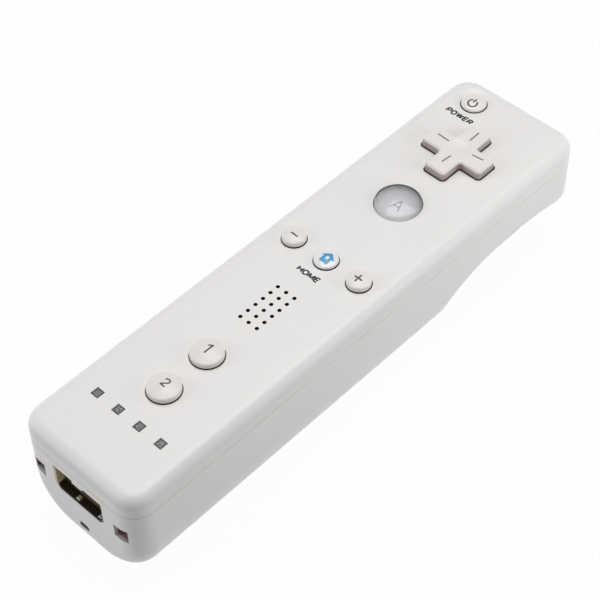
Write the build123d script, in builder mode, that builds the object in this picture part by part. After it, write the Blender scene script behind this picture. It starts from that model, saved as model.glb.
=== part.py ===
from build123d import *
import os

os.makedirs("parts", exist_ok=True)

# Driving dimensions of the wand, in millimetres. X is its width, +Y points
# at the screen and +Z is the button face. It stands on z = 0.
wand_length = 148.0
wand_width = 36.2
case_height = 30.8
wall = 2.0
seam_height_share = 0.81169
seam_height = case_height * seam_height_share
seam_chamfer = 0.2
corner_radius = 5.7
top_edge_radius = 3.0
lower_edge_radius = 5.0
bowl_share = 0.35635
bowl_radius = wand_width * bowl_share

# Underside seen from the side: the battery hump, the rise to the waist where
# the forefinger rests, and the nose that drops again towards the screen.
hump_end_share = 0.04054
hump_end = wand_length * hump_end_share
waist_start_share = 0.31081
waist_start = wand_length * waist_start_share
waist_end_share = 0.36486
waist_end = wand_length * waist_end_share
waist_height_share = 0.3961
waist_height = case_height * waist_height_share
nose_height_share = 0.27922
nose_height = case_height * nose_height_share

# Fits, one overrun for every cut, and a hair that keeps faces from coinciding.
overrun = 1.0
button_clearance = 0.2
close_fit = 0.05
panel_gap = 0.15
hair = 0.001
loose_fit = 0.3

# Circuit board, the datum for everything inside.
board_thickness = 1.2
board_drop = 4.2
board_top = case_height - wall - board_drop
board_side_room = 3.3
board_width = wand_width - 2 * board_side_room
board_front_share = 0.46622
board_front = wand_length * board_front_share
board_rear_share = -0.46959
board_rear = wand_length * board_rear_share
board_corner = 3.0
board_bottom = board_top - board_thickness

ceiling = case_height - wall
half_length = wand_length / 2
half_width = wand_width / 2


def save(piece, name):
    """Label a finished piece and write its own STEP file."""
    piece.part.label = name
    export_step(piece.part, f"parts/{name}.step")


def slab(low, high, mode=Mode.ADD):
    """A box between two opposite corners, in the part being built."""
    middle = [(a + b) / 2 for a, b in zip(low, high)]
    size = [b - a for a, b in zip(low, high)]
    with Locations(tuple(middle)):
        Box(*size, mode=mode)


def rod(centre, low, high, radius, mode=Mode.ADD):
    """An upright cylinder from low to high, in the part being built."""
    with Locations((centre[0], centre[1], (low + high) / 2)):
        Cylinder(radius, high - low, mode=mode)


def wand_form(inset):
    """The wand's outer form with every face moved inwards by inset."""
    with BuildPart() as form:
        with BuildSketch(Plane.YZ):
            with BuildLine():
                hump = Line((-half_length, 0), (hump_end, 0))
                middle = ((hump_end + waist_start) / 2, waist_height / 2)
                rise = TangentArc(hump @ 1, middle, tangent=hump % 1)
                crest = TangentArc(middle, (waist_start, waist_height), tangent=rise % 1)
                waist = Line(crest @ 1, (waist_end, waist_height))
                nose = TangentArc(waist @ 1, (half_length, nose_height), tangent=waist % 1)
                Polyline(
                    nose @ 1,
                    (half_length, case_height),
                    (-half_length, case_height),
                    hump @ 0,
                )
            make_face()
            if inset:
                offset(amount=-inset, kind=Kind.INTERSECTION)
        extrude(amount=half_width - inset, both=True)
        front_corners = form.edges().filter_by(Axis.Z).group_by(Axis.Y)[-1]
        fillet(front_corners, corner_radius - inset)
        level = form.edges().filter_by(Axis.Z, reverse=True)
        lower_rim = level.filter_by(
            lambda edge: edge.center().Z < case_height / 2
            and (abs(edge.center().X) > corner_radius or edge.center().Y > waist_end + corner_radius)
        )
        fillet(lower_rim, lower_edge_radius - inset)
        with BuildSketch(Plane.XZ):
            with Locations((0, case_height)):
                RectangleRounded(
                    2 * (half_width - inset) + hair,
                    2 * (case_height - inset),
                    bowl_radius - inset,
                )
        extrude(amount=wand_length, both=True, mode=Mode.INTERSECT)
        rear_rim = form.faces().sort_by(Axis.Y)[0].edges().sort_by(Axis.Z)[:-1]
        fillet(rear_rim, corner_radius - inset)
        top_rim = form.edges().group_by(Axis.Z)[-1]
        fillet(top_rim, top_edge_radius - min(inset, top_edge_radius / 2))
    return form.part


outer = wand_form(0)
cavity = wand_form(wall)
rib_limit = wand_form(wall / 2)

# Push buttons on the face. Each has a round hole, a domed cap that stands
# proud and a flange under the ceiling that keeps it in.
power_side_room = 9.0
power_x = power_side_room - half_width
power_inset = 7.8
power_y = half_length - power_inset
power_hole = 3.4
power_proud = 0.9
dish_radius = 5.3
dish_depth = 0.6
a_y_share = 0.18716
a_y = wand_length * a_y_share
a_hole = 5.9
a_proud = 1.8
menu_y_share = 0.02027
menu_y = wand_length * menu_y_share
menu_hole_share = 0.17403
menu_hole = half_width * menu_hole_share
menu_side_room = 1.95
menu_proud = 1.8
home_proud = 1.2
number_hole = 4.15
number_proud = 2.0
one_y_share = -0.23514
one_y = wand_length * one_y_share
two_y_share = -0.3223
two_y = wand_length * two_y_share
flange_width = 0.9
menu_pitch = half_width - wall - menu_side_room - menu_hole - flange_width
flange_thickness = 0.8
plunger_share = 0.6
plunger_room = 2.2
plunger_bottom = board_top + plunger_room
crown_share = 0.35
rim_round = 0.5

buttons = {
    "power_button": (power_x, power_y, power_hole, power_proud),
    "a_button": (0, a_y, a_hole, a_proud),
    "minus_button": (-menu_pitch, menu_y, menu_hole, menu_proud),
    "home_button": (0, menu_y, menu_hole, home_proud),
    "plus_button": (menu_pitch, menu_y, menu_hole, menu_proud),
    "one_button": (0, one_y, number_hole, number_proud),
    "two_button": (0, two_y, number_hole, number_proud),
}

# Cross pad: its hole, the gap that lets it rock and the ball it rocks on.
pad_y_share = 0.33277
pad_y = wand_length * pad_y_share
pad_span = 18.1
pad_arm = 6.1
pad_gap = 0.35
pad_proud = 2.4
pad_corner = 0.8
pad_edge_round = 0.8
pad_flange_radius = 10.4
pad_flange_drop = 0.85
pad_flange_thickness = 0.9
pad_dish_radius = 14.0
pad_dish_depth = 0.35
ball_radius = 1.8
ball_height = board_top + ball_radius
pad_dome_reach = 6.5

# Openings for sound and light near the connector end.
speaker_y_share = -0.10878
speaker_y = wand_length * speaker_y_share
speaker_hole = 0.5
speaker_columns = 3
speaker_rows = 6
speaker_column_pitch = 2.57
speaker_row_pitch = 2.39
light_y_share = -0.39189
light_y = wand_length * light_y_share
light_pitch_share = 0.36298
light_pitch = half_width * light_pitch_share
light_size = 2.15
light_count = 4

# Screws that clamp the two halves and the board between them.
screw_x_share = 0.33702
screw_x = wand_width * screw_x_share
power_screw_pitch = 8.6
front_screw_y = power_y - power_screw_pitch
rear_screw_inset = 8.0
rear_screw_y = rear_screw_inset - half_length
screw_shank = 1.0
screw_hole = 1.25
screw_head = 1.9
screw_well = 2.2
screw_head_height = 1.4
screw_seat_share = 0.50325
screw_seat = case_height * screw_seat_share
screw_tip_room = 0.8
screw_end = case_height - wall - screw_tip_room
lower_boss = 3.0
upper_boss = 2.4
screw_places = [
    (side * screw_x, y) for side in (-1, 1) for y in (rear_screw_y, front_screw_y)
]

# Pointer window in the nose.
window_half_width = 11.0
window_low_share = 0.46104
window_low = case_height * window_low_share
window_high_share = 0.85065
window_high = case_height * window_high_share
window_corner = 1.5
window_setback = 0.2
window_flange = 0.8

# Tongue that locates the top half in the lower one.
tongue_depth = 1.4
tongue_thickness = 0.7
tongue_gap = 0.1

with BuildPart() as shell:
    add(outer)
    add(cavity, mode=Mode.SUBTRACT)


def cross_outline(grow):
    """The plus-shaped outline of the cross pad, each side moved out by grow."""
    with BuildSketch() as cross:
        with Locations((0, pad_y)):
            Rectangle(pad_span, pad_arm)
            Rectangle(pad_arm, pad_span)
        fillet(cross.vertices(), pad_corner)
        if grow:
            offset(amount=grow)
    return cross.sketch


def window_cut(grow, near, far, mode):
    """A rounded block through the nose, where the pointer window sits."""
    with BuildSketch(Plane.XZ.offset(-far)) as pane:
        with Locations((0, (window_low + window_high) / 2)):
            RectangleRounded(
                2 * (window_half_width + grow),
                window_high - window_low + 2 * grow,
                window_corner + grow,
            )
    extrude(pane.sketch, amount=far - near, mode=mode)


# Top half: one moulding with the button holes, the sound holes, the light
# holes, the upper screw bosses and the locating tongue.
with BuildPart() as top_case:
    add(shell.part)
    split(bisect_by=Plane.XY.offset(seam_height), keep=Keep.TOP)
    seam_face = top_case.faces().sort_by(Axis.Z)[0]
    chamfer(seam_face.outer_wire().edges(), seam_chamfer)
    with BuildSketch(Plane.XY.offset(seam_height - tongue_depth)):
        tongue_inset = wall + tongue_gap
        RectangleRounded(
            wand_width - 2 * tongue_inset,
            wand_length - 2 * tongue_inset,
            corner_radius - tongue_inset,
        )
        tongue_inset = wall + tongue_gap + tongue_thickness
        RectangleRounded(
            wand_width - 2 * tongue_inset,
            wand_length - 2 * tongue_inset,
            corner_radius - tongue_inset,
            mode=Mode.SUBTRACT,
        )
    extrude(amount=tongue_depth)
    with BuildSketch(Plane.XY.offset(seam_height)):
        RectangleRounded(
            wand_width - wall, wand_length - wall, corner_radius - wall / 2
        )
        RectangleRounded(
            wand_width - 2 * tongue_inset,
            wand_length - 2 * tongue_inset,
            corner_radius - tongue_inset,
            mode=Mode.SUBTRACT,
        )
    extrude(amount=tongue_thickness)
    for place in screw_places:
        rod(place, board_top, ceiling + wall / 2, upper_boss)
        rod(place, board_top - overrun, screw_end, screw_shank, Mode.SUBTRACT)
    dish_sphere = (dish_radius**2 + dish_depth**2) / (2 * dish_depth)
    with Locations((power_x, power_y, case_height - dish_depth + dish_sphere)):
        Sphere(dish_sphere, mode=Mode.SUBTRACT)
    with BuildSketch(Plane.XY.offset(case_height + overrun)):
        for x, y, hole, proud in buttons.values():
            with Locations((x, y)):
                Circle(hole)
        add(cross_outline(pad_gap))
        with Locations((0, speaker_y)):
            with GridLocations(
                speaker_column_pitch, speaker_row_pitch, speaker_columns, speaker_rows
            ):
                Circle(speaker_hole)
        with Locations((0, light_y)):
            with GridLocations(light_pitch, light_pitch, light_count, 1):
                Rectangle(light_size + 2 * close_fit, light_size + 2 * close_fit)
    extrude(amount=-(wall + 2 * overrun), mode=Mode.SUBTRACT)
    window_cut(close_fit, half_length - wall - overrun, half_length + overrun, Mode.SUBTRACT)
    slab(
        (-window_half_width - 2 * window_flange, half_length - 2 * wall, board_top - wall),
        (window_half_width + 2 * window_flange, half_length - wall, window_high + 2 * window_flange),
        Mode.SUBTRACT,
    )
save(top_case, "top_case")

# Battery bay: two cells side by side under a roof, between two end walls.
cell_nub_radius = 2.75
cell_nub_height = 1.3
bay_front_share = 0.01689
bay_front = wand_length * bay_front_share
cover_rear = rear_screw_y + lower_boss + panel_gap + close_fit
sync_inset = 2.6
sync_y = cover_rear + sync_inset
sync_room = 3.7
bay_rear = sync_y + sync_room
bay_wall = 1.2
bay_roof_share = 0.58442
bay_roof = case_height * bay_roof_share
contact_thickness = 0.4
cell_gap = 0.3
cell_roof_gap = 0.35
cell_floor_gap = 1.15
cell_side_room = 3.6
spring_room = 4.6
nub_room = 3.9
cell_rear = bay_rear + spring_room
cell_front = bay_front - nub_room
cell_length = cell_front - cell_rear
cell_room = bay_roof - cell_roof_gap - wall - cell_floor_gap
cell_radius = min(cell_room, half_width - cell_side_room) / 2
cell_pitch = 2 * cell_radius + cell_gap
cell_height = bay_roof - cell_roof_gap - cell_radius

# Battery cover on the underside, and the ledges that its ends rest on.
cover_half_width_share = 0.38674
cover_half_width = wand_width * cover_half_width_share
cover_front_share = 0.03919
cover_front = wand_length * cover_front_share
cover_top_share = 0.29221
cover_top = case_height * cover_top_share
ledge_half_width = 5.0
ledge_reach = 1.4
ledge_thickness = 1.1
latch_width = 9.0
latch_length = 7.0
latch_slot = 0.6

# Pairing button behind the battery bay, and its switch under the board.
sync_radius = 1.3
sync_tip_share = 0.18182
sync_tip = case_height * sync_tip_share
sync_shelf_share = 0.27273
sync_shelf = case_height * sync_shelf_share
sync_shelf_thickness = 1.0
sync_flange = 2.1
sync_travel = 0.5
switch_size = 4.5
switch_height = 2.0
switch_stem = 0.8
switch_stem_depth = 1.2

# Vibration motor across the wand, in front of the battery bay.
motor_y_share = 0.09459
motor_y = wand_length * motor_y_share
motor_z_share = 0.43831
motor_z = case_height * motor_z_share
motor_radius = 3.5
motor_side_room = 5.1
motor_rear = motor_side_room - half_width
motor_length = 11.0
motor_shaft = 0.5
weight_gap = 0.6
weight_radius = 3.0
weight_length = 4.0
cradle_thickness = 1.2
cradle_half_width = 4.6
cradle_inset = 2.0
cradle_places = (motor_rear + cradle_inset, motor_rear + motor_length - cradle_inset)

# Trigger under the waist: it turns on a pin at its front end.
hinge_y_share = 0.38514
hinge_y = wand_length * hinge_y_share
pin_radius = 0.8
trigger_width_share = 0.38674
trigger_half_width = half_width * trigger_width_share
trigger_gap = 0.35
trigger_wall = 1.4
trigger_plate = 1.6
trigger_tip_y_share = 0.19189
trigger_tip_y = wand_length * trigger_tip_y_share
trigger_front_y_share = 0.35473
trigger_front_y = wand_length * trigger_front_y_share
trigger_tip_z_share = 0.17532
trigger_tip_z = case_height * trigger_tip_z_share
trigger_hollow = 0.65
trigger_skirt = 5.0
trigger_angle = 5.5
ear_radius = 2.2
hinge_room = 0.6
hinge_z = waist_height + wall + ear_radius + hinge_room
opening_front_share = 0.36081
opening_front = wand_length * opening_front_share
opening_rear_share = 0.18311
opening_rear = wand_length * opening_rear_share
pin_boss = 1.8
post_y_share = 0.25676
post_y = wand_length * post_y_share
post_radius = 2.0
post_top_share = 0.66883
post_top = case_height * post_top_share

# Connector in the end face, the two latch holes beside it and the strap hole.
port_side_room = 1.6
port_half_width = screw_x - lower_boss - port_side_room
port_low_share = 0.49351
port_low = case_height * port_low_share
port_corner = 1.3
key_half_width = 1.6
key_depth = 0.9
connector_wall = 0.4
port_high = board_bottom - connector_wall
connector_front = wall - half_length
connector_room = 2.8
connector_length = sync_y - connector_room - connector_front
latch_hole_x_share = 0.35635
latch_hole_x = wand_width * latch_hole_x_share
latch_hole_half_width = 1.9
latch_hole_low_share = 0.5
latch_hole_low = case_height * latch_hole_low_share
latch_hole_high_share = 0.63636
latch_hole_high = case_height * latch_hole_high_share
strap_hole_z_share = 0.23377
strap_hole_z = case_height * strap_hole_z_share
strap_hole_width = 3.2
strap_hole_height = 2.0
strap_hole_y_share = -0.4527
strap_hole_y = wand_length * strap_hole_y_share


def port_outline(grow):
    """The connector opening seen from its end: lower corners cut off."""
    side = port_half_width + grow
    low = port_low - grow
    high = port_high + grow
    Polygon(
        (-side, high),
        (side, high),
        (side, low + port_corner),
        (side - port_corner, low),
        (port_corner - side, low),
        (-side, low + port_corner),
        align=None,
    )


# Inner walls of the lower half, trimmed so that they end inside its skin.
with BuildPart() as bay_walls:
    for near, far in (
        (bay_front, bay_front + bay_wall),
        (bay_rear - bay_wall, bay_rear),
    ):
        slab((-half_width, near, cover_top), (half_width, far, bay_roof + bay_wall))
    slab(
        (-half_width, bay_rear - bay_wall, bay_roof),
        (half_width, bay_front + bay_wall, bay_roof + bay_wall),
    )
    for place in screw_places:
        rod(place, 0, board_bottom, lower_boss)
    for x in cradle_places:
        slab(
            (x - cradle_thickness / 2, motor_y - cradle_half_width, 0),
            (x + cradle_thickness / 2, motor_y + cradle_half_width, motor_z),
        )
    for side in (-1, 1):
        inner = side * (trigger_half_width + trigger_gap)
        boss = side * (trigger_half_width + trigger_gap + pin_boss)
        slab(
            (min(inner, boss), hinge_y - ear_radius, waist_height),
            (max(inner, boss), hinge_y + ear_radius, hinge_z + ear_radius),
        )
    add(rib_limit, mode=Mode.INTERSECT)
    with Locations(Location((motor_rear + motor_length / 2, motor_y, motor_z), (0, 90, 0))):
        Cylinder(motor_radius + close_fit, wand_width, mode=Mode.SUBTRACT)

# Lower parts of the two end walls, kept clear of the cover's inner face.
with BuildPart() as bay_ends:
    for near, far in (
        (bay_front, bay_front + bay_wall),
        (bay_rear - bay_wall, bay_rear),
    ):
        slab((-half_width, near, 0), (half_width, far, cover_top))
    add(wand_form(wall + loose_fit), mode=Mode.INTERSECT)

# Lower half: one moulding with the battery bay, the trigger's opening, the
# connector's opening and the lower screw bosses.
with BuildPart() as bottom_case:
    add(shell.part)
    split(bisect_by=Plane.XY.offset(seam_height), keep=Keep.BOTTOM)
    seam_face = bottom_case.faces().sort_by(Axis.Z)[-1]
    chamfer(seam_face.outer_wire().edges(), seam_chamfer)
    slab(
        (-cover_half_width - panel_gap, cover_rear - panel_gap, -overrun),
        (cover_half_width + panel_gap, cover_front + panel_gap, cover_top),
        Mode.SUBTRACT,
    )
    add(bay_walls.part)
    add(bay_ends.part)
    for end, reach in (
        (cover_front + panel_gap, -ledge_reach),
        (cover_rear - panel_gap, ledge_reach),
    ):
        root = end - reach
        tip = end + reach
        slab(
            (-ledge_half_width, min(root, end), wall / 2),
            (ledge_half_width, max(root, end), wall + ledge_thickness),
        )
        slab(
            (-ledge_half_width, min(end, tip), wall),
            (ledge_half_width, max(end, tip), wall + ledge_thickness),
        )
    slab(
        (-2 * sync_flange, cover_rear, sync_shelf),
        (2 * sync_flange, bay_rear - bay_wall / 2, sync_shelf + sync_shelf_thickness),
    )
    sync_place = (0, sync_y)
    rod(sync_place, 0, board_bottom, sync_radius + button_clearance, Mode.SUBTRACT)
    for place in screw_places:
        rod(place, -overrun, screw_seat, screw_well, Mode.SUBTRACT)
        rod(place, screw_seat - overrun, board_top, screw_hole, Mode.SUBTRACT)
    slab(
        (-trigger_half_width - trigger_gap, opening_rear, -overrun),
        (trigger_half_width + trigger_gap, opening_front, bay_roof),
        Mode.SUBTRACT,
    )
    with Locations(Location((0, hinge_y, hinge_z), (0, 90, 0))):
        Cylinder(pin_radius, 2 * (trigger_half_width + trigger_gap + pin_boss), mode=Mode.SUBTRACT)
    with BuildSketch(Plane.XZ.offset(half_length + overrun)):
        port_outline(0)
        with Locations((0, port_high)):
            Rectangle(2 * key_half_width, 2 * key_depth, mode=Mode.SUBTRACT)
        for side in (-1, 1):
            with Locations((side * latch_hole_x, (latch_hole_low + latch_hole_high) / 2)):
                Rectangle(2 * latch_hole_half_width, latch_hole_high - latch_hole_low)
        with Locations((0, strap_hole_z)):
            SlotOverall(strap_hole_width, strap_hole_height)
    extrude(amount=-(wall + 2 * overrun), mode=Mode.SUBTRACT)
    with BuildSketch(Plane.XY.offset(-overrun)):
        with Locations((0, strap_hole_y)):
            SlotOverall(strap_hole_width, strap_hole_height)
    extrude(amount=wall + 2 * overrun, mode=Mode.SUBTRACT)
    window_cut(close_fit, half_length - wall - overrun, half_length + overrun, Mode.SUBTRACT)
    window_cut(
        window_flange + close_fit,
        half_length - wall - window_flange - close_fit,
        half_length - wall,
        Mode.SUBTRACT,
    )
save(bottom_case, "bottom_case")

# Battery cover: the same skin as the lower half, with a springy latch tab
# freed on three sides at its rear end.
with BuildPart() as battery_cover:
    slab(
        (-cover_half_width, cover_rear, -overrun),
        (cover_half_width, cover_front, cover_top),
    )
    add(shell.part, mode=Mode.INTERSECT)
    for side in (-1, 1):
        edge = side * latch_width / 2
        slab(
            (edge - latch_slot / 2, cover_rear - overrun, -overrun),
            (edge + latch_slot / 2, cover_rear + latch_length, wall + overrun),
            Mode.SUBTRACT,
        )
save(battery_cover, "battery_cover")


def button_cap(x, y, hole, proud):
    """A push button turned about its own axis: crown, skirt, flange, plunger."""
    cap = hole - button_clearance
    top = case_height + proud
    crown = cap * crown_share
    plunger = cap * plunger_share
    flange = hole + flange_width
    with BuildPart() as button:
        with BuildSketch(Plane((x, y, 0), x_dir=(1, 0, 0), z_dir=(0, -1, 0))) as profile:
            with BuildLine():
                dome = TangentArc((0, top), (cap, top - crown / 2), tangent=(1, 0))
                Polyline(
                    dome @ 1,
                    (cap, ceiling),
                    (flange, ceiling),
                    (flange, ceiling - flange_thickness),
                    (plunger, ceiling - flange_thickness),
                    (plunger, plunger_bottom),
                    (0, plunger_bottom),
                    (0, top),
                )
            make_face()
            rim = profile.vertices().sort_by_distance(dome @ 1)[0]
            fillet(rim, rim_round)
        revolve(axis=Axis((x, y, 0), (0, 0, 1)))
    return button


for name, (x, y, hole, proud) in buttons.items():
    save(button_cap(x, y, hole, proud), name)

# Cross pad: four arms in one moulding, on a round flange, with a shallow dish
# in the middle of its face and a socket for the ball underneath.
with BuildPart() as dpad_cross:
    flange_top = ceiling - pad_flange_drop
    with BuildSketch(Plane.XY.offset(flange_top - pad_flange_thickness)):
        add(cross_outline(0))
    extrude(amount=case_height + pad_proud - flange_top + pad_flange_thickness)
    fillet(dpad_cross.faces().sort_by(Axis.Z)[-1].edges(), pad_edge_round)
    pad_place = (0, pad_y)
    rod(pad_place, flange_top - pad_flange_thickness, flange_top, pad_flange_radius)
    with Locations((0, pad_y, case_height + pad_proud - pad_dish_depth + pad_dish_radius)):
        Sphere(pad_dish_radius, mode=Mode.SUBTRACT)
    with Locations((0, pad_y, ball_height)):
        Sphere(ball_radius + close_fit, mode=Mode.SUBTRACT)
save(dpad_cross, "dpad_cross")

with BuildPart() as dpad_pivot:
    with Locations((0, pad_y, ball_height)):
        Sphere(ball_radius)
save(dpad_pivot, "dpad_pivot")

# Silicone keypads: a thin web on the board with one hollow-looking dome under
# each plunger.
web_thickness = 0.5
web_margin = 1.4
dome_taper = 12.0


def dome(place, radius, foot, top):
    """One rubber dome from the web up to its plunger, in the part being built."""
    with BuildSketch(Plane.XY.offset(foot)) as ring:
        with Locations(place):
            Circle(radius)
    extrude(ring.sketch, amount=top - foot, taper=dome_taper)


def keypad(names):
    """The keypad under a row of buttons: the web follows their outer edges."""
    places = [buttons[name][:3] for name in names]
    low_x = min(x - hole for x, y, hole in places) - web_margin
    high_x = max(x + hole for x, y, hole in places) + web_margin
    low_y = min(y - hole for x, y, hole in places) - web_margin
    high_y = max(y + hole for x, y, hole in places) + web_margin
    with BuildPart() as pad:
        with BuildSketch(Plane.XY.offset(board_top)):
            with Locations(((low_x + high_x) / 2, (low_y + high_y) / 2)):
                RectangleRounded(high_x - low_x, high_y - low_y, places[0][2] + web_margin - close_fit)
        extrude(amount=web_thickness)
        for x, y, hole in places:
            dome((x, y), hole, board_top, plunger_bottom)
    return pad


save(keypad(["power_button"]), "power_keypad")
save(keypad(["a_button"]), "a_keypad")
save(keypad(["minus_button", "home_button", "plus_button"]), "menu_keypad")
save(keypad(["one_button", "two_button"]), "number_keypad")

with BuildPart() as dpad_keypad:
    pad_foot = ceiling - pad_flange_drop - pad_flange_thickness
    with BuildSketch(Plane.XY.offset(board_top)):
        with Locations(pad_place):
            Circle(pad_flange_radius - web_margin / 2)
            Circle(ball_radius + web_margin, mode=Mode.SUBTRACT)
    extrude(amount=web_thickness)
    for step_x, step_y in ((1, 0), (0, 1), (-1, 0), (0, -1)):
        centre = (step_x * pad_dome_reach, pad_y + step_y * pad_dome_reach)
        dome(centre, pad_arm / 3, board_top, pad_foot)
save(dpad_keypad, "dpad_keypad")

with BuildPart() as trigger_keypad:
    with BuildSketch(Plane.XY.offset(board_bottom)):
        with Locations((0, post_y)):
            RectangleRounded(4 * post_radius, 4 * post_radius, web_margin)
    extrude(amount=-web_thickness)
    with BuildSketch(Plane.XY.offset(post_top)):
        with Locations((0, post_y)):
            Circle(post_radius)
    extrude(amount=board_bottom - post_top, taper=-dome_taper)
save(trigger_keypad, "trigger_keypad")


def trigger_side(lift):
    """Lower edge of the trigger from its front end to its tip, raised by lift."""
    front = Vector(trigger_front_y, waist_height + lift)
    tip = Vector(trigger_tip_y + lift, trigger_tip_z + lift)
    middle = (front + tip) / 2 + Vector(0, trigger_hollow)
    ThreePointArc(front, middle, tip)
    return front, tip


# Trigger: a curved finger plate with side skirts, two ears on the hinge pin
# and a post that works the rubber dome under the board.
with BuildPart() as trigger:
    with BuildSketch(Plane.YZ):
        with BuildLine():
            front, tip = trigger_side(0)
            Polyline(
                tip,
                (trigger_tip_y, trigger_tip_z + trigger_skirt),
                (trigger_front_y - trigger_skirt, waist_height + trigger_plate),
                (hinge_y - ear_radius, hinge_z + ear_radius),
                (hinge_y, hinge_z + ear_radius),
                (hinge_y, hinge_z - ear_radius),
                (trigger_front_y, hinge_z - ear_radius),
                front,
            )
        make_face()
        with Locations((hinge_y, hinge_z)):
            Circle(ear_radius)
    extrude(amount=trigger_half_width, both=True)
    with BuildSketch(Plane.YZ):
        with BuildLine():
            front, tip = trigger_side(trigger_plate)
            Polyline(
                tip,
                (tip.X, bay_roof + wall),
                (hinge_y + 2 * ear_radius, bay_roof + wall),
                (hinge_y + 2 * ear_radius, front.Y),
                front,
            )
        make_face()
    extrude(amount=trigger_half_width - trigger_wall, both=True, mode=Mode.SUBTRACT)
    rod((0, post_y), waist_height - trigger_plate, post_top, post_radius)
    for angle in (0, 90):
        with Locations(Location((0, post_y, (waist_height + post_top) / 2), (0, 0, angle))):
            Box(2 * (post_radius + trigger_wall), trigger_wall, (post_top - waist_height) / 2)
    with Locations(Location((0, hinge_y, hinge_z), (0, 90, 0))):
        Cylinder(pin_radius + close_fit, 4 * trigger_half_width, mode=Mode.SUBTRACT)
save(trigger, "trigger")

with BuildPart() as trigger_pin:
    pin_length = 2 * (trigger_half_width + trigger_gap + pin_boss)
    with Locations(Location((0, hinge_y, hinge_z), (0, 90, 0))):
        Cylinder(pin_radius, pin_length)
save(trigger_pin, "trigger_pin")

# Circuit board with a clearance hole for each screw.
with BuildPart() as main_board:
    with BuildSketch(Plane.XY.offset(board_bottom)):
        with Locations((0, (board_front + board_rear) / 2)):
            RectangleRounded(board_width, board_front - board_rear, board_corner)
        for place in screw_places:
            with Locations(place):
                Circle(screw_hole, mode=Mode.SUBTRACT)
    extrude(amount=board_thickness)
save(main_board, "main_board")

# Four machine-cut screws, heads down in their wells.
with BuildPart() as case_screws:
    for place in screw_places:
        rod(place, screw_seat - screw_head_height, screw_seat, screw_head)
        rod(place, screw_seat, screw_end, screw_shank)
save(case_screws, "case_screws")

# Small loudspeaker behind the sound holes: magnet, basket and foam ring.
speaker_radius = 10.0
magnet_radius = 6.0
magnet_height = 1.8
foam_thickness = 0.5
foam_width = 1.4
cone_depth = 1.0
with BuildPart() as speaker:
    rim_top = ceiling - foam_thickness
    rod((0, speaker_y), board_top, board_top + magnet_height, magnet_radius)
    with BuildSketch(Plane.XY.offset(board_top + magnet_height)):
        with Locations((0, speaker_y)):
            Circle(magnet_radius)
    with BuildSketch(Plane.XY.offset(rim_top - cone_depth / 2)):
        with Locations((0, speaker_y)):
            Circle(speaker_radius)
    loft()
    rod((0, speaker_y), rim_top - cone_depth / 2, rim_top, speaker_radius)
    with BuildSketch(Plane.XY.offset(rim_top)):
        with Locations((0, speaker_y)):
            Circle(speaker_radius - foam_width)
    extrude(amount=-cone_depth, taper=4 * dome_taper, mode=Mode.SUBTRACT)
save(speaker, "speaker")

with BuildPart() as speaker_gasket:
    rod((0, speaker_y), rim_top, ceiling, speaker_radius)
    rod((0, speaker_y), rim_top - overrun, ceiling + overrun, speaker_radius - foam_width, Mode.SUBTRACT)
save(speaker_gasket, "speaker_gasket")

# Player lights: four emitters on the board and one clear guide whose prisms
# end flush with the face.
light_emitter = 1.2
light_emitter_height = 0.7
guide_height = 1.2
with BuildPart() as player_leds:
    with Locations((0, light_y, board_top + light_emitter_height / 2)):
        with GridLocations(light_pitch, light_pitch, light_count, 1):
            Box(light_emitter, light_emitter, light_emitter_height)
save(player_leds, "player_leds")

with BuildPart() as light_guide:
    guide_bottom = board_top + light_emitter_height
    with Locations((0, light_y, (guide_bottom + case_height) / 2)):
        with GridLocations(light_pitch, light_pitch, light_count, 1):
            Box(light_size, light_size, case_height - guide_bottom)
    guide_half = light_pitch * (light_count - 1) / 2 + light_size
    slab(
        (-guide_half, light_y - light_size, ceiling - guide_height),
        (guide_half, light_y + light_size, ceiling),
    )
save(light_guide, "light_guide")

# Pointer window and the camera behind it.
with BuildPart() as pointer_window:
    window_cut(0, half_length - wall, half_length - window_setback, Mode.ADD)
    window_cut(window_flange, half_length - wall - window_flange, half_length - wall, Mode.ADD)
save(pointer_window, "pointer_window")

camera_half = 4.0
camera_depth = 4.5
camera_low_share = 0.53247
camera_low = case_height * camera_low_share
lens_share = 0.37143
lens_radius = (board_bottom - camera_low) * lens_share
lens_length = 1.6
with BuildPart() as pointer_camera:
    camera_front = board_front - lens_length
    slab(
        (-camera_half, camera_front - camera_depth, camera_low),
        (camera_half, camera_front, board_bottom),
    )
    with BuildSketch(Plane.XZ.offset(-camera_front)):
        with Locations((0, (camera_low + board_bottom) / 2)):
            Circle(lens_radius)
    extrude(amount=-lens_length)
save(pointer_camera, "pointer_camera")

# Connector: a folded metal shell, the insulator with its blade, and contacts.
blade_room = 2.0
blade_half_width = port_half_width - blade_room
blade_thickness = 1.6
blade_setback = 3.0
insulator_depth = 2.0
contact_count = 3
contact_pitch = 3.4
contact_width = 1.0
connector_rear = connector_front + connector_length
connector_middle = (port_low + port_high) / 2
with BuildPart() as connector_shell:
    with BuildSketch(Plane.XZ.offset(-connector_front)):
        port_outline(connector_wall)
    extrude(amount=-connector_length)
    with BuildSketch(Plane.XZ.offset(-connector_front)):
        port_outline(0)
    extrude(amount=-connector_length, mode=Mode.SUBTRACT)
save(connector_shell, "connector_shell")

with BuildPart() as connector_insulator:
    with BuildSketch(Plane.XZ.offset(-connector_rear)):
        port_outline(0)
    extrude(amount=insulator_depth)
    slab(
        (-blade_half_width, connector_front + blade_setback, connector_middle - blade_thickness / 2),
        (blade_half_width, connector_rear, connector_middle + blade_thickness / 2),
    )
save(connector_insulator, "connector_insulator")

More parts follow.
